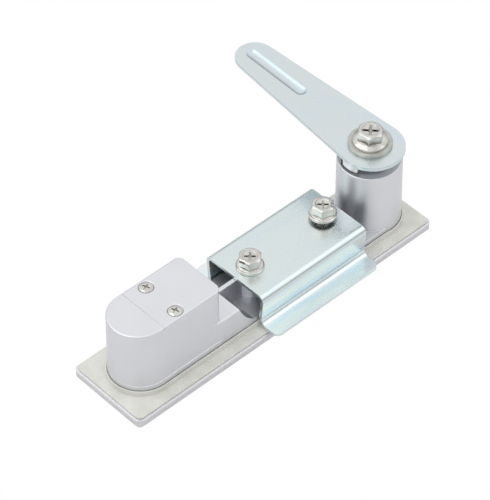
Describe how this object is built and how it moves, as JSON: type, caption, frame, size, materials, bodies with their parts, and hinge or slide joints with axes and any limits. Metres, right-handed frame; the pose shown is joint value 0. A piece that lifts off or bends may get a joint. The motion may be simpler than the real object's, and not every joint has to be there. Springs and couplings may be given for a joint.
{
  "type": "electrical cabinet lock",
  "caption": "Push-button cabinet door lock: a lift-and-turn handle swings a cam lever behind the door, and a hat-shaped bracket clamps the lock in its cut-out.",
  "frame": {"origin": "centre of the face plate, on the outer face of the door, where the gasket's back seats", "axes": "+Z into the cabinet, +X along the face plate towards the spindle, +Y the way the cam lever points when the lock is closed"},
  "size_m": [0.148, 0.0952, 0.0582],
  "materials": {
    "die_cast_satin": "satin silver over zinc die casting",
    "gasket_foam": "matt pale grey foam",
    "zinc_sheet": "bright blue-passivated zinc on pressed sheet",
    "zinc_turned": "dull zinc on turned and punched steel",
    "screw_bright": "bright nickel-coloured screw heads",
    "steel_dark": "oiled dark steel",
    "spring_steel": "drawn spring wire and strip",
    "handle_satin": "satin silver over zinc die casting",
    "button_chrome": "satin chrome",
    "plug_brass": "turned brass",
    "nylon_white": "natural nylon",
    "seal_rubber": "black rubber"
  },
  "bodies": {
    "lock_body": {"base_casting": "die_cast_satin", "door_gasket": "gasket_foam", "rear_cover": "die_cast_satin", "cover_screws": "screw_bright", "clamp_bracket": "zinc_sheet", "bracket_screws": "screw_bright", "stop_pin": "steel_dark", "button_spring": "spring_steel", "thrust_washer": "nylon_white"},
    "spindle_body": {"spindle": "zinc_turned", "spindle_seal": "seal_rubber", "limit_plate": "zinc_turned", "cam_spacer": "steel_dark", "cam_lever": "zinc_sheet", "cam_washer": "zinc_turned", "cam_screw": "screw_bright", "hinge_pin": "steel_dark", "lift_spring": "spring_steel"},
    "handle_body": {"handle": "handle_satin"},
    "button_body": {"push_button": "button_chrome", "link_pin": "steel_dark"},
    "plug_body": {"key_plug": "plug_brass", "plug_clip": "spring_steel"},
    "latch_body": {"latch_plate": "zinc_turned"}
  },
  "joints": [
    {"name": "spindle_turn", "type": "hinge", "parent": "lock_body", "child": "spindle_body", "pos_m": [0.0575, 0, 0], "axis": [0, 0, 1], "range_deg": [0, 90]},
    {"name": "handle_lift", "type": "hinge", "parent": "spindle_body", "child": "handle_body", "pos_m": [0.0575, 0, -0.00885], "axis": [0, -1, 0], "range_deg": [0, 35]},
    {"name": "button_push", "type": "slide", "parent": "lock_body", "child": "button_body", "axis": [0, 0, 1], "range_m": [0, 0.0026], "stiffness_N_per_m": 600, "springref_m": -0.003, "deforming": ["button_spring"]},
    {"name": "latch_slide", "type": "slide", "parent": "lock_body", "child": "latch_body", "axis": [-1, 0, 0], "range_m": [0, 0.0026]},
    {"name": "key_turn", "type": "hinge", "parent": "button_body", "child": "plug_body", "pos_m": [-0.057, 0, 0], "axis": [0, 0, 1], "range_deg": [0, 90]}
  ],
  "couplings": [
    {"joint": "latch_slide", "follows": "button_push", "ratio": 1}
  ]
}
